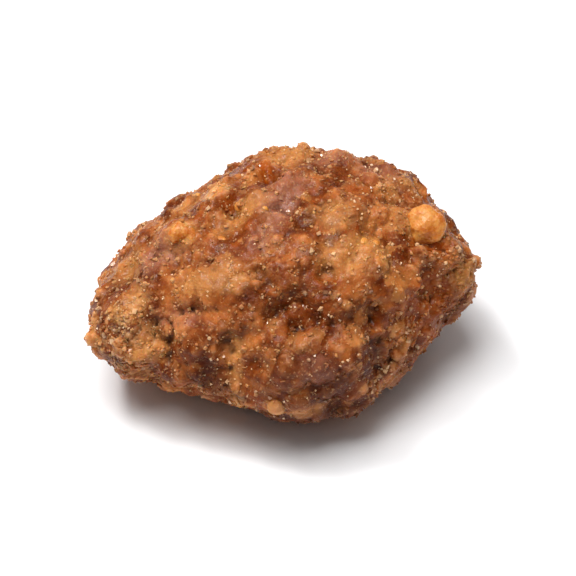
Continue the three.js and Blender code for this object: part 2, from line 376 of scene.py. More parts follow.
@dataclass
class KernelGuide:
    """The bare kernel inside the crust. It turns places on the almond into points of the crust's surface.

    Search is how far out of the kernel the crust is looked for, in millimetres. Raggedness moves the edges of
    patches in and out, and edge is how a patch fades with the distance from its middle.
    """

    length: float = 20.8
    width: float = 14.4
    thickness: float = 10.9
    tip_pinch: float = 0.37
    lean: float = 8.0
    nose_down: float = 3.0
    middle: tuple[float, float, float] = (0.019, 0.277, 6.484)
    search: float = 8.0
    raggedness: float = 0.42
    edge: Ramp = Ramp(1.25, 0.35)
    tree: BVHTree | None = None

    def read_crust(self, node: bpy.types.Object) -> None:
        """Takes the solid's surface to look for places on.

        Args:
            node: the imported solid.
        """
        points = [v.co / MM for v in node.data.vertices]
        self.tree = BVHTree.FromPolygons(points, [tuple(p.vertices) for p in node.data.polygons])

    def laid(self) -> Matrix:
        """The turn from the kernel's own axes to the way that the almond lies."""
        tip = Matrix.Rotation(math.radians(-self.nose_down), 3, "Y")
        return Matrix.Rotation(math.radians(self.lean), 3, "X") @ tip

    def kernel_point(self, along: float, around: float) -> Vector:
        """A point of the kernel's surface.

        Args:
            along: from -1 at the pointed end to 1 at the blunt end.
            around: degrees about the long axis.

        Returns:
            The point in the row frame, in millimetres.
        """
        angle = math.radians(around)
        off = math.sqrt(max(0.0, 1 - along * along))
        girth = 1 - self.tip_pinch * ((1 - along) / 2) ** 3
        own = Vector((
            along * self.length / 2,
            -off * math.sin(angle) * girth * self.width / 2,
            off * math.cos(angle) * girth * self.thickness / 2,
        ))
        return self.laid() @ own + Vector(self.middle)

    def spot(self, along: float, around: float, turn: float = 0.0) -> Spot:
        """The point of the crust over a place on the kernel.

        Args:
            along: from -1 to 1.
            around: degrees about the long axis.
            turn: degrees that the length swings towards the back.

        Returns:
            The point and its directions.
        """
        step = 0.01
        centre = self.kernel_point(along, around)
        ahead = self.kernel_point(min(along + step, 1.0), around)
        behind = self.kernel_point(max(along - step, -1.0), around)
        lengthwise = (ahead - behind).normalized()
        sideways = (self.kernel_point(along, around + math.degrees(step)) - centre).normalized()
        outward = lengthwise.cross(sideways).normalized()
        if outward.dot(centre - Vector(self.middle)) < 0:
            outward.negate()
        hit = self.tree.ray_cast(centre, outward, self.search)[0]
        spin = Matrix.Rotation(math.radians(turn), 3, outward)
        lengthwise = spin @ lengthwise
        across = outward.cross(lengthwise)
        return Spot(*(np.array(v) for v in (hit or centre, lengthwise, across, outward)))

    def mask(self, patches: list[Patch], points: np.ndarray, ragged: np.ndarray) -> np.ndarray:
        """How strongly some patches cover each point.

        Args:
            patches: the patches.
            points: n by 3, in millimetres.
            ragged: n values from -1 to 1 that move the patches' edges in and out.

        Returns:
            n values from 0 to 1.
        """
        cover = np.zeros(len(points))
        for patch in patches:
            spot = self.spot(patch.along, patch.around, patch.turn)
            away = points - spot.point
            x = away @ spot.lengthwise / (patch.length / 2)
            y = away @ spot.across / (patch.width / 2)
            z = away @ spot.outward / max(patch.length, patch.width)
            reach = np.sqrt(x * x + y * y + z * z) + self.raggedness * ragged
            cover = np.maximum(cover, patch.strength * self.edge.at(reach))
        return cover


class Shader:
    """A node material in the making. Its mixing node's colours are at fixed places among the sockets."""

    SHARE_IN, BASE_IN, OVER_IN, COLOUR_OUT = 0, 6, 7, 2

    def __init__(self, name: str) -> None:
        """Starts a material with one surface shader.

        Args:
            name: the material's name.
        """
        self.material = bpy.data.materials.new(name)
        self.material.use_nodes = True
        self.tree = self.material.node_tree
        self.surface = self.tree.nodes["Principled BSDF"]
        self.place = self.tree.nodes.new("ShaderNodeTexCoord").outputs["Object"]

    def fix(self, **values: float | tuple[float, ...]) -> None:
        """Sets sockets of the surface shader that are the same all over.

        Args:
            values: a value for each socket, named in lower case with underscores.
        """
        for name, value in values.items():
            socket = name.replace("_", " ").title().replace("Ior", "IOR")
            self.surface.inputs[socket].default_value = value

    def feed(self, socket: str, source: Socket) -> None:
        """Links a source to a socket of the surface shader."""
        self.tree.links.new(source, self.surface.inputs[socket])

    def kept(self, key: Tone | Trait) -> Socket:
        """A value that is kept on the mesh.

        Args:
            key: which value.

        Returns:
            The value.
        """
        node = self.tree.nodes.new("ShaderNodeAttribute")
        node.attribute_name = key.value
        return node.outputs["Fac"]

    def noise(self, pattern: Pattern) -> Socket:
        """Noise over the object.

        Args:
            pattern: its size, its layers and the step to read it by.

        Returns:
            A value from 0 to 1, or within the step.
        """
        node = self.tree.nodes.new("ShaderNodeTexNoise")
        node.inputs["Scale"].default_value = 1 / (pattern.size * MM)
        node.inputs["Detail"].default_value = pattern.detail
        node.inputs["Roughness"].default_value = pattern.roughness
        self.tree.links.new(self.place, node.inputs["Vector"])
        value = node.outputs["Fac"]
        return self.remap(value, pattern.ramp) if pattern.ramp else value

    def cells(self, size: float) -> Socket:
        """Cells like packed grains.

        Args:
            size: how wide a grain is, in millimetres.

        Returns:
            The distance from the nearest grain's middle, as a share of the size.
        """
        node = self.tree.nodes.new("ShaderNodeTexVoronoi")
        node.inputs["Scale"].default_value = 1 / (size * MM)
        self.tree.links.new(self.place, node.inputs["Vector"])
        return node.outputs["Distance"]

    def remap(self, source: Socket, ramp: Ramp) -> Socket:
        """Reads a value by a smooth step.

        Args:
            source: the value.
            ramp: the step.

        Returns:
            The step's height at the value.
        """
        node = self.tree.nodes.new("ShaderNodeMapRange")
        node.interpolation_type = "SMOOTHSTEP"
        self.tree.links.new(source, node.inputs["Value"])
        limits = {"From Min": ramp.start, "From Max": ramp.end, "To Min": ramp.low, "To Max": ramp.high}
        for name, value in limits.items():
            node.inputs[name].default_value = value
        return node.outputs["Result"]

    def work_out(self, working: Working, first: Socket, second: Socket | float) -> Socket:
        """Works out a value from two others.

        Args:
            working: what is done with them.
            first: a value.
            second: another value, or a number.

        Returns:
            The result.
        """
        node = self.tree.nodes.new("ShaderNodeMath")
        node.operation = working.value
        self.tree.links.new(first, node.inputs[0])
        if isinstance(second, float):
            node.inputs[1].default_value = second
        else:
            self.tree.links.new(second, node.inputs[1])
        return node.outputs[0]

    def blend(self, share: Socket, base: Socket | Rgb, over: Socket | Rgb) -> Socket:
        """Lays one colour over another.

        Args:
            share: how much of the upper colour shows.
            base: the lower colour.
            over: the upper colour.

        Returns:
            The mixed colour.
        """
        node = self.tree.nodes.new("ShaderNodeMix")
        node.data_type = "RGBA"
        self.tree.links.new(share, node.inputs[self.SHARE_IN])
        for socket, colour in ((node.inputs[self.BASE_IN], base), (node.inputs[self.OVER_IN], over)):
            if isinstance(colour, tuple):
                socket.default_value = linear(colour)
            else:
                self.tree.links.new(colour, socket)
        return node.outputs[self.COLOUR_OUT]

    def roughen(self, texture: Texture) -> None:
        """Gives the surface fine relief.

        Args:
            texture: the ripples and the grains.
        """
        ripples = (self.noise(texture.ripple), texture.ripple_height)
        grains = (self.cells(texture.grain), texture.grain_height)
        normal = None
        for value, height in (ripples, grains):
            node = self.tree.nodes.new("ShaderNodeBump")
            node.inputs["Distance"].default_value = height * MM
            self.tree.links.new(value, node.inputs["Height"])
            if normal is not None:
                self.tree.links.new(normal, node.inputs["Normal"])
            normal = node.outputs["Normal"]
        self.feed("Normal", normal)


@dataclass(frozen=True)
class CrustFinish:
    """Cooked sugar and honey: mottled toffee colours, painted shade in the hollows, a painted highlight on
    the peaks, glassy in some places.

    Glow is how deep light goes into it, in millimetres. It is less for crumbs and grains than for the crust.
    The patterns mottle it, and the ramps say how the values that the mesh keeps turn into shares of a colour.
    """

    name: str = "roasted_crust"
    glow: float = 0.8
    sand: Rgb = (178, 101, 46)
    deep_sand: Rgb = (118, 52, 17)
    caramel: Rgb = (148, 70, 19)
    deep_caramel: Rgb = (88, 32, 6)
    mauve: Rgb = (122, 63, 35)
    gold: Rgb = (212, 144, 80)
    amber: Rgb = (170, 78, 12)
    # Brown seed coat where the crust is thin, and painted sheen where the thin glaze would reflect the lamps.
    skin: Rgb = (160, 102, 78)
    # Darker roast for some lumps and for the shade mask, and painted shade in the broad and middle hollows.
    dark: Rgb = (70, 23, 4)
    # Painted shade in the finest hollows and at the foot of each grain and crumb.
    hollow: Rgb = (30, 7, 1)
    sugar: Rgb = (238, 182, 124)
    mottle: Pattern = Pattern(1.8, 4.0, 0.62, Ramp(0.34, 0.66))
    blush: Pattern = Pattern(3.4, 3.0, 0.6, Ramp(0.54, 0.68, 0.0, 0.5))
    fleck: Pattern = Pattern(0.6, 3.0, 0.65, Ramp(0.36, 0.56, 0.6, 1.0))
    frost: Pattern = Pattern(0.3, 3.0, 0.7, Ramp(0.56, 0.7, 0.0, 0.3))
    gloss: Pattern = Pattern(0.5, 4.0, 0.7, Ramp(0.3, 0.7, 0.16, 0.38))
    pale_lumps: Ramp = Ramp(0.62, 1.0, 0.0, 0.45)
    dark_lumps: Ramp = Ramp(0.38, 0.0, 0.0, 0.4)
    pale_grains: Ramp = Ramp(0.3, 1.0, 0.0, 0.4)
    # Painted highlight: paler sugar on the peaks that the fine relief finds.
    peak_highlight: Ramp = Ramp(0.15, 1.0, 0.0, 0.4)
    # Holds the pale sugar and the peak highlight back where the shade mask lies.
    sugar_where_dark: Ramp = Ramp(0.0, 0.5, 1.0, 0.2)
    # Painted shade in the hollows that each relief finds.
    broad_hollow_shade: Ramp = Ramp(-0.15, -1.0, 0.0, 0.7)
    mid_hollow_shade: Ramp = Ramp(-0.15, -1.0, 0.0, 0.65)
    fine_hollow_shade: Ramp = Ramp(-0.1, -1.0, 0.0, 0.85)
    sandy_dullness: float = 0.2
    texture: Texture = Texture(Pattern(0.24, 4.0, 0.65), 0.05, 0.17, 0.035)

    def base(self, shader: Shader) -> Socket:
        """The mottled colours that don't depend on the relief, with the tone masks over them; among these are
        painted shade and painted sheen.

        Args:
            shader: the material in the making.

        Returns:
            A colour.
        """
        mottle = shader.noise(self.mottle)
        sand = shader.blend(mottle, self.deep_sand, self.sand)
        glass = shader.blend(mottle, self.deep_caramel, self.caramel)
        colour = shader.blend(shader.kept(Trait.GLAZE), sand, glass)
        lump = shader.kept(Trait.NODULE_TINT)
        colour = shader.blend(shader.remap(lump, self.pale_lumps), colour, self.gold)
        colour = shader.blend(shader.remap(lump, self.dark_lumps), colour, self.dark)
        colour = shader.blend(shader.noise(self.blush), colour, self.mauve)
        fleck = shader.noise(self.fleck)
        overlays = {
            Tone.DARK: self.dark, Tone.SKIN: self.skin, Tone.GOLD: self.gold, Tone.AMBER: self.amber,
        }
        for tone, over in overlays.items():
            share = shader.work_out(Working.MULTIPLY, shader.kept(tone), fleck)
            colour = shader.blend(share, colour, over)
        return shader.blend(shader.noise(self.frost), colour, self.sugar)

    def build(self) -> bpy.types.Material:
        """Makes the material.

        Returns:
            The crust's material.
        """
        shader = Shader(self.name)
        bright = shader.remap(shader.kept(Tone.DARK), self.sugar_where_dark)
        grain = shader.remap(shader.kept(Trait.GRAIN_TINT), self.pale_grains)
        colour = shader.blend(
            shader.work_out(Working.MULTIPLY, grain, bright), self.base(shader), self.sugar
        )
        # Painted shade in the hollows, then a painted highlight on the peaks.
        for trait, ramp, over in (
            (Trait.BROAD_RELIEF, self.broad_hollow_shade, self.dark),
            (Trait.MID_RELIEF, self.mid_hollow_shade, self.dark),
            (Trait.FINE_RELIEF, self.fine_hollow_shade, self.hollow),
        ):
            colour = shader.blend(shader.remap(shader.kept(trait), ramp), colour, over)
        peak = shader.remap(shader.kept(Trait.FINE_RELIEF), self.peak_highlight)
        colour = shader.blend(shader.work_out(Working.MULTIPLY, peak, bright), colour, self.sugar)
        shader.feed("Base Color", colour)
        dull = shader.work_out(Working.MULTIPLY, shader.kept(Trait.SANDY), self.sandy_dullness)
        shader.feed("Roughness", shader.work_out(Working.ADD, shader.noise(self.gloss), dull))
        shader.fix(
            specular_ior_level=0.08, subsurface_weight=0.6, subsurface_scale=self.glow * MM,
            subsurface_radius=(1.0, 0.36, 0.12), coat_weight=0.1, coat_roughness=0.12,
        )
        shader.roughen(self.texture)
        return shader.material


@dataclass(frozen=True)
class HoneyFinish:
    """Hardened honey: a warm, glossy, slightly cloudy drop. Glow is in millimetres."""

    name: str = "hardened_honey"
    glow: float = 0.5
    pale: Rgb = (220, 150, 74)
    warm: Rgb = (190, 102, 26)
    sugar: Rgb = (234, 180, 120)
    cloud: Pattern = Pattern(0.8, 4.0, 0.65, Ramp(0.36, 0.64))
    frost: Pattern = Pattern(0.25, 3.0, 0.7, Ramp(0.55, 0.7, 0.0, 0.4))
    gloss: Pattern = Pattern(0.3, 3.0, 0.55, Ramp(0.3, 0.7, 0.18, 0.5))
    texture: Texture = Texture(Pattern(0.5, 4.0, 0.65), 0.09, 0.18, 0.03)

    def build(self) -> bpy.types.Material:
        """Makes the material.

        Returns:
            The material of the drops.
        """
        shader = Shader(self.name)
        colour = shader.blend(shader.noise(self.cloud), self.pale, self.warm)
        shader.feed("Base Color", shader.blend(shader.noise(self.frost), colour, self.sugar))
        shader.feed("Roughness", shader.noise(self.gloss))
        shader.fix(
            specular_ior_level=0.4, subsurface_weight=0.4, subsurface_scale=self.glow * MM,
            subsurface_radius=(1.0, 0.45, 0.16),
        )
        shader.roughen(self.texture)
        return shader.material


@dataclass(frozen=True)
class CrystalFinish:
    """Sugar crystals: hard, glossy and a little paler than the crust that shows through them."""

    name: str = "sugar_crystal"
    glow: float = 0.06
    crust: CrustFinish = CrustFinish()
    clear: Rgb = (248, 206, 156)
    clearness: Ramp = Ramp(0.0, 1.0, 0.12, 0.62)
    gloss: Pattern = Pattern(0.3, 2.0, 0.55, Ramp(0.3, 0.7, 0.05, 0.2))

    def build(self) -> bpy.types.Material:
        """Makes the material.

        Returns:
            The material of the crystals.
        """
        shader = Shader(self.name)
        share = shader.remap(shader.kept(Trait.GRAIN_TINT), self.clearness)
        shader.feed("Base Color", shader.blend(share, self.crust.base(shader), self.clear))
        shader.feed("Roughness", shader.noise(self.gloss))
        shader.fix(
            ior=1.54, subsurface_weight=0.3, subsurface_scale=self.glow * MM,
            subsurface_radius=(1.0, 0.7, 0.45),
        )
        return shader.material


@dataclass(frozen=True)
class TableFinish:
    """A plain pale table."""

    name: str = "pale_table"
    white: Rgb = (243, 243, 244)

    def build(self) -> bpy.types.Material:
        """Makes the material.

        Returns:
            The table's material.
        """
        shader = Shader(self.name)
        shader.fix(base_color=linear(self.white), roughness=0.55, specular_ior_level=0.3)
        return shader.material


def add_piece(
    name: str, mesh: bpy.types.Mesh, material: bpy.types.Material, smooth: bool
) -> bpy.types.Object:
    """Puts a finished mesh in the scene as a piece of the almond.

    Args:
        name: the piece's name.
        mesh: its mesh, in millimetres.
        material: its finish.
        smooth: whether its faces are shaded smooth.

    Returns:
        The piece, riding on the almond.
    """
    mesh.transform(Matrix.Scale(MM, 4))
    mesh.polygons.foreach_set("use_smooth", [smooth] * len(mesh.polygons))
    mesh.materials.append(material)
    mesh.update()
    piece = bpy.data.objects.new(name, mesh)
    bpy.context.scene.collection.objects.link(piece)
    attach(piece, "root")
    return piece


def refined(mesh: bpy.types.Mesh, voxel: float) -> bpy.types.Mesh:
    """Covers a form with small even faces, and joins what overlaps.

    Args:
        mesh: the form, which is used up.
        voxel: the width of a face, in the mesh's own units.

    Returns:
        The new mesh, with the old one's name.
    """
    name = mesh.name
    carrier = bpy.data.objects.new(name, mesh)
    bpy.context.scene.collection.objects.link(carrier)
    remesh = carrier.modifiers.new("fine", "REMESH")
    remesh.mode = "VOXEL"
    remesh.voxel_size = voxel
    graph = bpy.context.evaluated_depsgraph_get()
    fine = bpy.data.meshes.new_from_object(carrier.evaluated_get(graph))
    bpy.data.objects.remove(carrier)
    bpy.data.meshes.remove(mesh)
    fine.name = name
    return fine


def keep(mesh: bpy.types.Mesh, key: Tone | Trait, values: np.ndarray) -> None:
    """Keeps one value for each point on the mesh, where a finish reads it."""
    mesh.attributes.new(key.value, "FLOAT", "POINT").data.foreach_set("value", values.astype(np.float32))


def search_tree(points: np.ndarray) -> KDTree:
    """Sorts points so that those near a place are found fast.

    Args:
        points: n by 3.

    Returns:
        The sorted points.
    """
    tree = KDTree(len(points))
    for index, point in enumerate(points):
        tree.insert(point, index)
    tree.balance()
    return tree


@dataclass
class Crust:
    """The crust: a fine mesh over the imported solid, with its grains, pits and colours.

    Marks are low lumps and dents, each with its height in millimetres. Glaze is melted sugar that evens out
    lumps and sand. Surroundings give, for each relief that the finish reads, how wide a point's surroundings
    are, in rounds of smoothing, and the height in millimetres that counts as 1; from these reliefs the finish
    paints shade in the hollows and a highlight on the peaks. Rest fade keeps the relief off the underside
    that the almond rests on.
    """

    guide: KernelGuide
    voxel: float = 0.137
    weld: float = 0.001
    facet_rounds: int = 5
    nodules: Domes = Domes(1300, Range(0.45, 1.4), Range(0.05, 0.26), 0.9)
    beads: Domes = Domes(2800, Range(0.2, 0.5), Range(0.05, 0.18), 0.6)
    grains: Domes = Domes(15000, Range(0.13, 0.3), Range(0.015, 0.07), 0.5)
    pits: Domes = Domes(110, Range(0.25, 0.6), Range(0.06, 0.24), 1.6)
    pit_depth: float = 0.6
    pit_swing: float = 0.8
    pit_outside_sand: float = 0.2
    wave_height: float = 0.06
    wave_swell: float = 0.8
    ragged_swell: float = 1.4
    ragged_layers: int = 4
    glaze_shift: float = 40.0
    glaze_swell: float = 2.6
    glaze_step: Ramp = Ramp(-0.05, 0.25)
    glaze_on_gold: float = 0.8
    glaze_evening: float = 0.5
    stray_sand: float = 0.6
    bead_step: Ramp = Ramp(0.02, 0.09)
    rest_fade: Ramp = Ramp(0.05, 0.6)
    surroundings: dict[Trait, tuple[int, float]] = field(default_factory=lambda: {
        Trait.FINE_RELIEF: (6, 0.11), Trait.MID_RELIEF: (22, 0.26), Trait.BROAD_RELIEF: (80, 0.5),
    })
    marks: list[tuple[Patch, float]] = field(default_factory=lambda: [
        (Patch(-0.23, 340, 2.0, 1.6), 0.25), (Patch(0.02, 328, 2.0, 1.2, 1.0, 60), 0.1),
        (Patch(-0.55, 357, 1.6, 1.2), 0.1), (Patch(-0.74, 49, 1.0, 1.3), -0.25),
        (Patch(0.81, 20, 2.4, 0.8, 1.0, -25), -0.3), (Patch(0.05, 42, 3.0, 2.0), 0.25),
        (Patch(0.81, 5, 3.4, 3.0), 0.2), (Patch(0.38, 256, 2.8, 2.6), 0.2),
        (Patch(0.0, 80, 7.6, 6.6), 0.35), (Patch(-0.38, 66, 1.2, 4.4), -0.3),
        (Patch(0.44, 76, 1.4, 5.0), -0.4), (Patch(-0.02, 50, 5.4, 1.4), -0.15),
    ])
    tones: dict[Tone, list[Patch]] = field(default_factory=lambda: {
        Tone.GOLD: [
            Patch(-0.49, 351, 2.8, 1.6), Patch(-0.36, 327, 5.0, 2.4, 0.4), Patch(-0.27, 332, 2.4, 1.8),
            Patch(-0.18, 349, 5.0, 2.0, 0.55, 27), Patch(0.37, 21, 5.0, 3.4, 0.7),
            Patch(0.34, 0, 3.4, 3.0, 0.65), Patch(-0.37, 23, 6.0, 2.4, 0.55, 5),
            Patch(-0.89, 34, 1.6, 1.6, 0.6), Patch(-0.81, 24, 2.2, 2.2, 0.7),
            Patch(-0.77, 63, 2.6, 3.0, 0.6), Patch(-0.34, 66, 1.3, 4.0, 0.7),
            Patch(0.16, 312, 4.4, 2.4, 0.6), Patch(0.71, 330, 3.0, 2.0, 0.3),
            Patch(-0.85, 338, 3.2, 2.8, 0.5), Patch(0.64, 37, 2.6, 1.8, 0.6),
            Patch(0.94, 54, 2.0, 3.2, 0.8), Patch(0.03, 92, 3.6, 1.4, 0.35), Patch(0.8, 8, 2.6, 2.2, 0.7),
            Patch(-0.2, 235, 5.0, 3.4, 0.6, 12), Patch(0.5, 262, 4.4, 3.0, 0.65, -20),
            Patch(-0.66, 250, 3.4, 3.0, 0.6), Patch(0.3, 150, 4.6, 2.6, 0.5, 15),
            Patch(-0.4, 140, 3.6, 2.4, 0.5), Patch(0.75, 215, 3.4, 3.0, 0.6),
            Patch(-0.75, 190, 3.0, 2.6, 0.5),
        ],
        # Amber glaze. In the pit at -0.23 and the slit at 0.02 it is amber glaze with a painted orange glow,
        # and the patch at 0.82, 19 is a painted shadow below the honey bead.
        Tone.AMBER: [
            Patch(0.82, 19, 3.2, 1.3, 0.9, -25), Patch(0.62, 36, 3.0, 1.6, 0.3),
            Patch(-0.42, 353, 1.2, 0.8, 0.5), Patch(0.02, 324, 1.2, 2.6, 0.8),
            Patch(-0.23, 340, 1.9, 1.4, 0.6), Patch(0.5, 342, 2.6, 1.6, 0.5),
            Patch(0.16, 262, 2.2, 1.4, 0.7), Patch(-0.5, 262, 2.0, 1.4, 0.7),
            Patch(0.62, 280, 2.6, 1.2, 0.7, 30), Patch(0.05, 140, 2.4, 1.4, 0.6),
            Patch(0.8, 60, 6.0, 7.0, 0.55), Patch(0.1, 44, 5.4, 2.6, 0.3),
        ],
        # Brown seed coat where the crust is thin, and painted sheen where the thin glaze would reflect the
        # lamps.
        Tone.SKIN: [
            Patch(0.13, 338, 3.2, 2.4, 0.9), Patch(0.03, 349, 3.8, 2.6, 1.0, 60),
            Patch(-0.08, 5, 3.6, 2.2, 0.6, 45), Patch(-0.65, 354, 4.0, 2.4, 0.85, 10),
            Patch(-0.6, 40, 3.0, 2.2, 0.5), Patch(0.09, 70, 3.0, 3.2, 0.5),
            Patch(0.42, 316, 4.0, 1.6, 0.7), Patch(0.66, 322, 4.6, 3.0, 0.5),
            Patch(0.28, 244, 6.4, 3.6, 0.7, 15), Patch(-0.42, 285, 4.8, 2.6, 0.6),
            Patch(-0.5, 216, 4.8, 3.2, 0.6), Patch(0.5, 120, 3.6, 2.6, 0.5),
        ],
        # Painted shade: the creases and pits, the lower front, the lower right and the right end, and the
        # underside; some of it is crust roasted darker.
        Tone.DARK: [
            Patch(0.03, 42, 5.4, 3.4, 0.8, -10), Patch(-0.09, 31, 4.0, 2.6, 0.35),
            Patch(0.36, 52, 5.4, 2.8, 0.5, -14), Patch(0.42, 74, 3.4, 4.4, 0.7),
            Patch(0.86, 44, 4.0, 4.0, 0.3), Patch(-0.49, 78, 5.0, 3.8, 0.75), Patch(-0.75, 48, 2.2, 2.2),
            Patch(-0.3, 50, 3.0, 1.4, 0.6, 35), Patch(-0.08, 74, 6.0, 5.0, 0.35),
            Patch(0.12, 80, 4.4, 4.0, 0.9), Patch(0.9, 85, 4.0, 5.0, 0.6), Patch(-0.89, 14, 2.0, 2.0, 0.4),
            Patch(0.2, 270, 2.0, 6.0, 0.6, 22), Patch(-0.45, 256, 1.8, 5.0, 0.6, -15),
            Patch(0.62, 92, 5.0, 5.0, 0.3), Patch(0.05, 106, 11.0, 4.4), Patch(0.3, 200, 7.0, 4.0, 0.5),
            Patch(-0.3, 180, 6.0, 3.0, 0.5, 20), Patch(-0.23, 341, 1.8, 1.2, 0.5),
            Patch(0.02, 326, 1.8, 1.0, 0.9, 60),
        ],
    })
    sandy_zones: list[Patch] = field(default_factory=lambda: [
        Patch(-0.88, 60, 6.0, 7.5), Patch(-0.45, 90, 8.0, 5.0, 0.9), Patch(0.55, 84, 6.5, 5.0, 0.9),
        Patch(0.93, 50, 4.0, 8.0, 0.8), Patch(0.45, 300, 9.0, 3.0, 0.8), Patch(-0.85, 350, 3.5, 4.0, 0.6),
        Patch(-0.2, 250, 9.0, 6.0, 0.7), Patch(0.2, 150, 10.0, 5.0, 0.8), Patch(0.2, 45, 6.0, 2.6, 0.6),
    ])

    def fine_mesh(self) -> bpy.types.Mesh:
        """Covers the solid's form with small even faces.

        Returns:
            The mesh, in millimetres.
        """
        form = bmesh.new()
        form.from_mesh(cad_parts["almond"].data)
        form.transform(Matrix.Scale(1 / MM, 4))
        bmesh.ops.remove_doubles(form, verts=form.verts, dist=self.weld)
        coarse = bpy.data.meshes.new("crust")
        form.to_mesh(coarse)
        form.free()
        return refined(coarse, self.voxel)

    def domes(
        self, kind: Domes, points: np.ndarray, tree: KDTree, rng: np.random.Generator
    ) -> tuple[np.ndarray, np.ndarray]:
        """Scatters lumps and measures how high they reach at each point.

        Args:
            kind: the lumps.
            points: n by 3, in millimetres.
            tree: the same points, to search.
            rng: the source of chance.

        Returns:
            The highest lump's height at each point, and that lump's own random number from 0 to 1.
        """
        height, tint = np.zeros(len(points)), np.zeros(len(points))
        centres = rng.integers(len(points), size=kind.count)
        radii, tops = kind.radius.skewed(rng, kind.count), kind.height.skewed(rng, kind.count)
        tints = rng.random(kind.count)
        for centre, radius, top, own in zip(centres, radii, tops, tints):
            for _, index, distance in tree.find_range(points[centre], radius):
                reach = top * (1 - (distance / radius) ** 2) ** kind.steepness
                if reach > height[index]:
                    height[index], tint[index] = reach, own
        return height, tint

    def relief(self, form: np.ndarray, kept: dict[Tone | Trait, np.ndarray]) -> np.ndarray:
        """Works out how far the crust stands out of its smooth form.

        Args:
            form: n by 3 points of the smooth form, in millimetres.
            kept: takes the tones, the glaze, the sand and the tints of lumps and grains at each point.

        Returns:
            n heights, in millimetres.
        """
        rng = np.random.default_rng(SEED)
        tree = search_tree(form)
        grit = Grit(SEED)
        ragged = grit.layered(form, self.ragged_swell, self.ragged_layers)
        for tone, patches in self.tones.items():
            kept[tone] = self.guide.mask(patches, form, ragged)
        nodules, nodule_tint = self.domes(self.nodules, form, tree, rng)
        beads, bead_tint = self.domes(self.beads, form, tree, rng)
        grains, grain_tint = self.domes(self.grains, form, tree, rng)
        pits, _ = self.domes(self.pits, form, tree, rng)
        glaze = self.glaze_step.at(grit.layered(form + self.glaze_shift, self.glaze_swell))
        glaze = np.maximum(glaze, np.maximum(kept[Tone.AMBER], self.glaze_on_gold * kept[Tone.GOLD]))
        zone = self.guide.mask(self.sandy_zones, form, ragged)
        sandy = self.stray_sand + (1 - self.stray_sand) * zone
        sandy *= 1 - self.glaze_evening * glaze * (1 - zone)
        pits *= (self.pit_depth + self.pit_swing * ragged) * (
            self.pit_outside_sand + (1 - self.pit_outside_sand) * sandy
        )
        waves = self.wave_height * grit.layered(form, self.wave_swell)
        relief = nodules * (1 - self.glaze_evening * glaze) + (beads + grains) * sandy - pits + waves
        for patch, height in self.marks:
            relief += height * self.guide.mask([patch], form, ragged)
        kept[Trait.GLAZE] = glaze
        kept[Trait.SANDY] = sandy
        kept[Trait.NODULE_TINT] = nodule_tint
        kept[Trait.GRAIN_TINT] = np.maximum(grain_tint, bead_tint * self.bead_step.at(beads)) * sandy
        return relief

    def build(self) -> tuple[bpy.types.Mesh, Surface]:
        """Makes the crust's mesh with its relief and the values that its finish reads.

        Returns:
            The mesh, in millimetres, and its surface as arrays.
        """
        mesh = self.fine_mesh()
        surface = Surface(mesh)
        form = surface.smoothed(surface.points, self.facet_rounds, True)
        relief = self.relief(form, surface.values)
        relief -= np.median(relief)
        shaped = form + surface.normals * (relief * self.rest_fade.at(form[:, 2]))[:, None]
        shaped[:, 2] = np.maximum(shaped[:, 2], 0.0)
        mesh.vertices.foreach_set("co", shaped.ravel())
        mesh.update()
        surface.points = shaped
        # The reliefs from which the finish paints shade in the hollows and a highlight on the peaks.
        for trait, (rounds, full) in self.surroundings.items():
            surface.values[trait] = surface.proud(shaped, rounds, full)
        for key, values in surface.values.items():
            keep(mesh, key, values)
        return mesh, surface

    def dress(self, mesh: bpy.types.Mesh, finish: CrustFinish) -> bpy.types.Object:
        """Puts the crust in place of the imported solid.

        Args:
            mesh: the crust's mesh.
            finish: its finish.

        Returns:
            The piece.
        """
        piece = add_piece("crust", mesh, finish.build(), True)
        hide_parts("almond")
        return piece


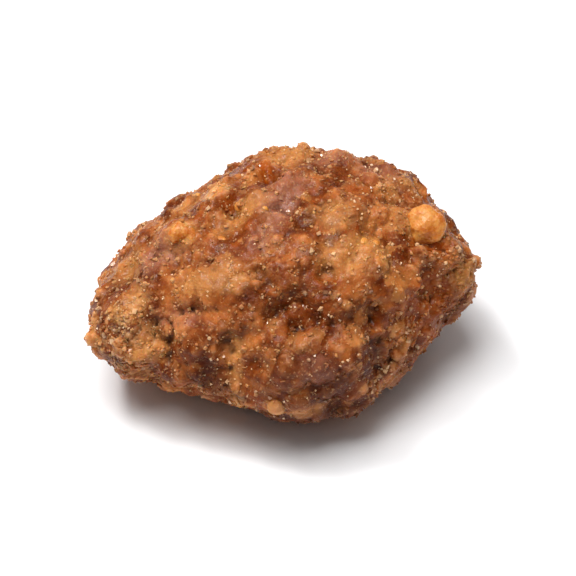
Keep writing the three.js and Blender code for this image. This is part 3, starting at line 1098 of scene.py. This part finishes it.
@dataclass
class Scatter:
    """Many small copies of a few shapes, set into the crust's surface as one mesh.

    Each shape has n by 3 points, about 1 across, and m by 3 triangles. Level and rise give the relief that a
    copy's finish reads at its middle height and how fast it grows towards its top; from it the crust's finish
    paints shade at a copy's foot and a highlight on its top.
    """

    shapes: list[Shape]
    surface: Surface
    level: float = 0.2
    rise: float = 0.9
    points: list[np.ndarray] = field(default_factory=list)
    faces: list[np.ndarray] = field(default_factory=list)
    relief: list[np.ndarray] = field(default_factory=list)
    sites: list[np.ndarray] = field(default_factory=list)
    tints: list[np.ndarray] = field(default_factory=list)
    total: int = 0

    def add(self, site: int, size: np.ndarray, sink: float, tilt: float, rng: np.random.Generator) -> None:
        """Sets one copy into the surface.

        Args:
            site: the number of the crust's point that it sits on.
            size: its three widths, the last one along the way out.
            sink: share of its height that is under the surface.
            tilt: how far it leans.
            rng: the source of chance.
        """
        points, faces = self.shapes[rng.integers(len(self.shapes))]
        outward = self.surface.normals[site] + tilt * rng.normal(size=3)
        outward /= np.linalg.norm(outward)
        side = np.cross(outward, rng.normal(size=3))
        side /= np.linalg.norm(side)
        axes = np.stack([side, np.cross(outward, side), outward])
        centre = self.surface.points[site] + self.surface.normals[site] * size[2] * (0.5 - sink)
        self.points.append(points * size @ axes + centre)
        self.faces.append(faces + self.total)
        # A made-up relief, low at the foot and high at the top, for painted shade and painted highlight.
        self.relief.append(self.level + self.rise * points[:, 2])
        self.sites.append(np.full(len(points), site))
        self.tints.append(np.full(len(points), rng.random()))
        self.total += len(points)

    def mesh(self, name: str) -> bpy.types.Mesh:
        """Joins all copies. Each takes the colours of the crust under it.

        Args:
            name: the mesh's name.

        Returns:
            One mesh, in millimetres.
        """
        mesh = bpy.data.meshes.new(name)
        mesh.from_pydata(np.concatenate(self.points).tolist(), [], np.concatenate(self.faces).tolist())
        sites = np.concatenate(self.sites)
        own = {
            Trait.FINE_RELIEF: np.concatenate(self.relief), Trait.GRAIN_TINT: np.concatenate(self.tints),
        }
        for key, values in self.surface.values.items():
            keep(mesh, key, own[key] if key in own else values[sites])
        return mesh


def rounded_shapes(count: int, rings: int, roughness: float, rng: np.random.Generator) -> list[Shape]:
    """Uneven rounded lumps.

    Args:
        count: how many.
        rings: how often the starting ball is divided.
        roughness: how far their surface strays, as a share of the radius.
        rng: the source of chance.

    Returns:
        Points and triangles of each lump, about 1 across.
    """
    swell, ripple, ripple_share, seeds = 0.45, 0.2, 0.5, 1 << 30
    ball = bmesh.new()
    bmesh.ops.create_icosphere(ball, subdivisions=rings, radius=0.5)
    points = np.array([v.co for v in ball.verts])
    faces = np.array([[v.index for v in f.verts] for f in ball.faces])
    ball.free()
    shapes = []
    for _ in range(count):
        grit = Grit(int(rng.integers(seeds)))
        stray = 1 + roughness * (grit.at(points, swell) + ripple_share * grit.at(points, ripple))
        shapes.append((points * stray[:, None], faces))
    return shapes


def angular_shapes(count: int, corners: int, rng: np.random.Generator) -> list[Shape]:
    """Uneven blocks with flat faces, like broken crystals.

    Args:
        count: how many.
        corners: how many corners each is cut from.
        rng: the source of chance.

    Returns:
        Points and triangles of each block, about 1 across.
    """
    deepest_cut = 0.22
    shapes = []
    for _ in range(count):
        block = bmesh.new()
        for _ in range(corners):
            corner = np.sign(rng.normal(size=3)) * (0.5 - deepest_cut * rng.random(3) ** 2)
            block.verts.new(corner)
        bmesh.ops.convex_hull(block, input=block.verts)
        bmesh.ops.delete(block, geom=[v for v in block.verts if not v.link_faces], context="VERTS")
        bmesh.ops.triangulate(block, faces=block.faces)
        block.verts.index_update()
        points = np.array([v.co for v in block.verts])
        faces = np.array([[v.index for v in f.verts] for f in block.faces])
        block.free()
        shapes.append((points, faces))
    return shapes


@dataclass
class Sprinkling:
    """Where small things lie on the crust: gathered in some patches and thinly all over."""

    guide: KernelGuide
    surface: Surface
    clear_of_table: float = 0.7
    ragged_swell: float = 1.2
    ragged_layers: int = 2
    seed: int = SEED + 5

    def nearest(self, point: np.ndarray) -> int:
        """The number of the crust's point that is nearest to a place."""
        return int(((self.surface.points - point) ** 2).sum(axis=1).argmin())

    def sites(
        self,
        count: int,
        patches: list[Patch],
        spread: float,
        rng: np.random.Generator,
        liking: np.ndarray | float = 1.0,
    ) -> np.ndarray:
        """Picks points of the crust.

        Args:
            count: how many.
            patches: where they gather.
            spread: how likely the rest of the crust is, next to the patches.
            rng: the source of chance.
            liking: how much more likely each point is for some other reason.

        Returns:
            The points' numbers.
        """
        points = self.surface.points
        ragged = Grit(self.seed).layered(points, self.ragged_swell, self.ragged_layers)
        likely = spread + self.guide.mask(patches, points, ragged)
        likely *= liking * (points[:, 2] > self.clear_of_table)
        return rng.choice(len(points), size=count, replace=False, p=likely / likely.sum())

    def add_batch(
        self,
        scatter: Scatter,
        batch: Batch,
        lie: Lie,
        patches: list[Patch],
        rng: np.random.Generator,
        liking: np.ndarray | float = 1.0,
    ) -> None:
        """Sets small things of one size into the crust.

        Args:
            scatter: takes them.
            batch: how many, how wide and how spread they are.
            lie: how they lie.
            patches: where they gather.
            rng: the source of chance.
            liking: how much more likely each point is for some other reason.
        """
        widths = batch.width.skewed(rng, batch.count)
        for site, width in zip(self.sites(batch.count, patches, batch.spread, rng, liking), widths):
            size = width * np.array([1.0, lie.breadth.even(rng), lie.height.even(rng)])
            scatter.add(site, size, lie.sink, lie.tilt, rng)


@dataclass
class Crumbs:
    """Crumbs of crust that stuck on last: many fine ones and a few coarse."""

    sprinkling: Sprinkling
    seed: int = SEED + 1
    kinds: int = 14
    rings: int = 3
    roughness: float = 0.8
    fine: Batch = Batch(260, Range(0.22, 0.5), 0.12)
    coarse: Batch = Batch(6, Range(0.45, 0.65), 0.12)
    lie: Lie = Lie(Range(0.7, 1.1), Range(0.6, 0.9), 0.56, 0.3)
    zones: list[Patch] = field(default_factory=lambda: [
        Patch(-0.86, 60, 5.5, 5.0), Patch(0.6, 78, 4.5, 6.0), Patch(0.92, 45, 4.0, 6.0, 0.8),
        Patch(-0.4, 104, 9.0, 3.0, 0.7), Patch(0.2, 300, 6.0, 3.5, 0.7),
        Patch(-0.3, 337, 7.0, 2.6, 0.5, 27), Patch(0.0, 262, 10.0, 6.0, 0.6),
        Patch(0.1, 104, 9.0, 3.0, 0.5), Patch(-0.2, 62, 4.0, 3.0, 0.5),
    ])

    def build(self) -> bpy.types.Mesh:
        """Makes all crumbs.

        Returns:
            One mesh, in millimetres.
        """
        rng = np.random.default_rng(self.seed)
        lumps = rounded_shapes(self.kinds, self.rings, self.roughness, rng)
        scatter = Scatter(lumps, self.sprinkling.surface)
        for batch in (self.fine, self.coarse):
            self.sprinkling.add_batch(scatter, batch, self.lie, self.zones, rng)
        return scatter.mesh("crumbs")

    def dress(self, finish: bpy.types.Material) -> bpy.types.Object:
        """Adds the crumbs as one piece, in the crust's own finish."""
        return add_piece("crumbs", self.build(), finish, True)


@dataclass
class HoneyDrops:
    """Drops of hardened honey.

    Large ones have their own places: a bead of three lumps at the shoulder, some at the ridge and some at the
    back. Each is a patch for its length and width, with its height in millimetres. Small ones lie here and
    there, and their breadth and height are shares of their width.
    """

    sprinkling: Sprinkling
    seed: int = SEED + 2
    kinds: int = 8
    rings: int = 4
    roughness: float = 0.24
    large_sink: float = 0.79
    small: Batch = Batch(12, Range(0.35, 0.8), 0.15)
    small_breadth: Range = Range(0.8, 1.1)
    small_height: float = 0.7
    small_sink: float = 0.66
    small_tilt: float = 0.1
    voxel: float = 0.065
    melt_rounds: int = 12
    large: list[tuple[Patch, float]] = field(default_factory=lambda: [
        (Patch(0.79, 6, 2.4, 2.2), 1.3), (Patch(0.81, 12, 2.2, 1.9), 1.1), (Patch(0.77, 8, 2.0, 1.8), 1.1),
        (Patch(-0.51, 351, 1.6, 1.2), 0.8), (Patch(-0.45, 352, 1.4, 1.0), 0.7),
        (Patch(-0.3, 0, 0.8, 0.7), 0.5), (Patch(0.4, 258, 1.7, 1.5), 0.9), (Patch(0.36, 254, 1.3, 1.2), 0.7),
    ])
    zones: list[Patch] = field(default_factory=lambda: [
        Patch(-0.3, 337, 7.0, 3.0, 1.0, 27), Patch(0.4, 15, 6.0, 5.0), Patch(0.5, 262, 6.0, 4.0),
    ])

    def build(self) -> bpy.types.Mesh:
        """Makes all drops, melted together where they touch.

        Returns:
            One mesh, in millimetres.
        """
        rng = np.random.default_rng(self.seed)
        lumps = rounded_shapes(self.kinds, self.rings, self.roughness, rng)
        scatter = Scatter(lumps, self.sprinkling.surface)
        for patch, height in self.large:
            place = self.sprinkling.guide.spot(patch.along, patch.around).point
            size = np.array([patch.length, patch.width, height])
            scatter.add(self.sprinkling.nearest(place), size, self.large_sink, 0.0, rng)
        sites = self.sprinkling.sites(self.small.count, self.zones, self.small.spread, rng)
        for site, width in zip(sites, self.small.width.skewed(rng, self.small.count)):
            size = width * np.array([1.0, self.small_breadth.even(rng), self.small_height])
            scatter.add(site, size, self.small_sink, self.small_tilt, rng)
        mesh = refined(scatter.mesh("honey_drops"), self.voxel)
        surface = Surface(mesh)
        mesh.vertices.foreach_set("co", surface.smoothed(surface.points, self.melt_rounds, False).ravel())
        return mesh

    def dress(self, finish: HoneyFinish) -> bpy.types.Object:
        """Adds the drops as one piece."""
        return add_piece("honey_drops", self.build(), finish.build(), True)


@dataclass
class SugarGrains:
    """The sand of cooked sugar that makes the crust rough. It gathers where the crust is sandy."""

    sprinkling: Sprinkling
    seed: int = SEED + 4
    kinds: int = 20
    corners: int = 12
    grains: Batch = Batch(3200, Range(0.12, 0.3), 1.0)
    lie: Lie = Lie(Range(0.7, 1.2), Range(0.6, 1.0), 0.6, 0.35)
    gathering: float = 1.5

    def build(self) -> bpy.types.Mesh:
        """Makes all grains.

        Returns:
            One mesh, in millimetres.
        """
        rng = np.random.default_rng(self.seed)
        scatter = Scatter(angular_shapes(self.kinds, self.corners, rng), self.sprinkling.surface)
        liking = self.sprinkling.surface.values[Trait.SANDY] ** self.gathering
        self.sprinkling.add_batch(scatter, self.grains, self.lie, [], rng, liking)
        return scatter.mesh("sugar_grains")

    def dress(self, finish: bpy.types.Material) -> bpy.types.Object:
        """Adds the grains as one piece, in the crust's own finish."""
        return add_piece("sugar_grains", self.build(), finish, True)


@dataclass
class Crystals:
    """Sugar crystals that catch the light: many small ones, some large and a few bright."""

    sprinkling: Sprinkling
    seed: int = SEED + 3
    blocks: int = 16
    corners: int = 13
    lumps: int = 8
    rings: int = 2
    roughness: float = 0.3
    small: Batch = Batch(2000, Range(0.08, 0.16), 0.5)
    large: Batch = Batch(200, Range(0.17, 0.3), 0.5)
    bright: Batch = Batch(60, Range(0.26, 0.4), 0.06)
    lie: Lie = Lie(Range(0.7, 1.2), Range(0.7, 1.1), 0.42, 0.5)
    zones: list[Patch] = field(default_factory=lambda: [
        Patch(0.63, 69, 2.6, 2.6), Patch(0.68, 94, 2.6, 2.4), Patch(0.38, 92, 3.0, 2.0),
        Patch(-0.88, 50, 4.5, 5.5), Patch(0.11, 352, 2.4, 1.6), Patch(0.42, 358, 2.4, 2.0),
        Patch(0.74, 338, 3.0, 3.0), Patch(0.5, 315, 9.0, 1.8), Patch(-0.1, 20, 1.6, 1.0),
        Patch(0.02, 24, 1.4, 1.0), Patch(0.85, 30, 4.0, 4.0), Patch(0.1, 40, 8.0, 3.0, 0.6),
        Patch(0.2, 260, 8.0, 5.0, 0.6), Patch(-0.6, 262, 4.0, 4.0, 0.6),
    ])

    def build(self) -> bpy.types.Mesh:
        """Makes all crystals.

        Returns:
            One mesh, in millimetres.
        """
        rng = np.random.default_rng(self.seed)
        shapes = angular_shapes(self.blocks, self.corners, rng)
        shapes += rounded_shapes(self.lumps, self.rings, self.roughness, rng)
        scatter = Scatter(shapes, self.sprinkling.surface)
        for batch in (self.small, self.large, self.bright):
            self.sprinkling.add_batch(scatter, batch, self.lie, self.zones, rng)
        return scatter.mesh("sugar_crystals")

    def dress(self, finish: CrystalFinish) -> bpy.types.Object:
        """Adds the crystals as one piece."""
        return add_piece("sugar_crystals", self.build(), finish.build(), False)


@dataclass(frozen=True)
class Lamp:
    """A soft square white lamp: the way to it in degrees, its distance and width in metres, its strength."""

    role: LightRole
    azimuth: float
    elevation: float
    distance: float
    width: float
    watts: float


@dataclass
class Studio:
    """The table, the lamps and the camera, in metres and degrees.

    Aim is how far, in millimetres, the camera is moved to its right and up to frame the almond. Sky is how
    strong the even light from all round is. Clip is the nearest and the farthest that the camera sees.
    """

    centre: Vector
    table_width: float = 1.6
    camera_azimuth: float = -10.0
    camera_elevation: float = 47.0
    camera_distance: float = 0.25
    lens: float = 237.0
    clip: Range = Range(0.01, 10.0)
    aim: tuple[float, float] = (0.5, -0.3)
    sky: float = 0.08
    lamps: tuple[Lamp, ...] = (
        Lamp(LightRole.KEY, 280.0, 80.0, 0.5, 0.28, 2.45),
        Lamp(LightRole.SPARK, 236.0, 66.0, 0.5, 0.1, 0.9),
        Lamp(LightRole.RIM, 176.0, 26.0, 0.6, 0.4, 0.25),
        Lamp(LightRole.FILL, 0.0, 85.0, 0.6, 0.9, 1.3),
    )

    def direction(self, azimuth: float, elevation: float) -> Vector:
        """The way from the almond to something round it.

        Args:
            azimuth: degrees, 0 at the front and -90 at the left.
            elevation: degrees above the table.

        Returns:
            A unit vector.
        """
        a, e = math.radians(azimuth), math.radians(elevation)
        return Vector((math.sin(a) * math.cos(e), -math.cos(a) * math.cos(e), math.sin(e)))

    def set_table(self, finish: TableFinish) -> None:
        """Lays the table under the almond.

        Args:
            finish: the table's finish.
        """
        sheet = bmesh.new()
        bmesh.ops.create_grid(sheet, x_segments=2, y_segments=2, size=self.table_width / 2)
        mesh = bpy.data.meshes.new("table")
        sheet.to_mesh(mesh)
        sheet.free()
        mesh.materials.append(finish.build())
        table = bpy.data.objects.new("table", mesh)
        bpy.context.scene.collection.objects.link(table)

    def light(self) -> None:
        """Hangs the lamps and brightens the air round them."""
        for lamp in self.lamps:
            data = bpy.data.lights.new(lamp.role.value, "AREA")
            data.shape = "SQUARE"
            data.size = lamp.width
            data.energy = lamp.watts
            holder = bpy.data.objects.new(lamp.role.value, data)
            out = self.direction(lamp.azimuth, lamp.elevation)
            holder.location = self.centre + out * lamp.distance
            holder.rotation_euler = out.to_track_quat("Z", "Y").to_euler()
            bpy.context.scene.collection.objects.link(holder)
        world = bpy.data.worlds.new("air")
        world.use_nodes = True
        air = world.node_tree.nodes["Background"]
        air.inputs["Color"].default_value = (1.0, 1.0, 1.0, 1.0)
        air.inputs["Strength"].default_value = self.sky
        bpy.context.scene.world = world
        bpy.context.scene.view_settings.view_transform = "Standard"

    def place_camera(self) -> None:
        """Looks at the almond from the photograph's side and height."""
        data = bpy.data.cameras.new("camera")
        data.lens = self.lens
        data.clip_start, data.clip_end = self.clip.low, self.clip.high
        camera = bpy.data.objects.new("camera", data)
        out = self.direction(self.camera_azimuth, self.camera_elevation)
        turn = out.to_track_quat("Z", "Y")
        aside = turn @ Vector((*self.aim, 0.0)) * MM
        camera.location = self.centre + aside + out * self.camera_distance
        camera.rotation_euler = turn.to_euler()
        bpy.context.scene.collection.objects.link(camera)
        bpy.context.scene.camera = camera


def report(piece: bpy.types.Object) -> None:
    """Says what a piece is made of."""
    LOG.info("%s: %d points, %d faces", piece.name, len(piece.data.vertices), len(piece.data.polygons))


def main() -> None:
    """Builds the almond and the studio, and notes the sizes."""
    logging.basicConfig(level=logging.INFO, format="%(message)s")
    guide = KernelGuide()
    guide.read_crust(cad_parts["almond"])
    crust = Crust(guide)
    mesh, surface = crust.build()
    report(crust.dress(mesh, CrustFinish()))
    sprinkling = Sprinkling(guide, surface)
    grainy = CrustFinish("toasted_grains", glow=0.12).build()
    report(Crumbs(sprinkling).dress(grainy))
    report(SugarGrains(sprinkling).dress(grainy))
    report(HoneyDrops(sprinkling).dress(HoneyFinish()))
    report(Crystals(sprinkling).dress(CrystalFinish()))
    low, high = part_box("almond")
    studio = Studio((low + high) / 2)
    studio.set_table(TableFinish())
    studio.light()
    studio.place_camera()


if __name__ == "__main__":
    main()
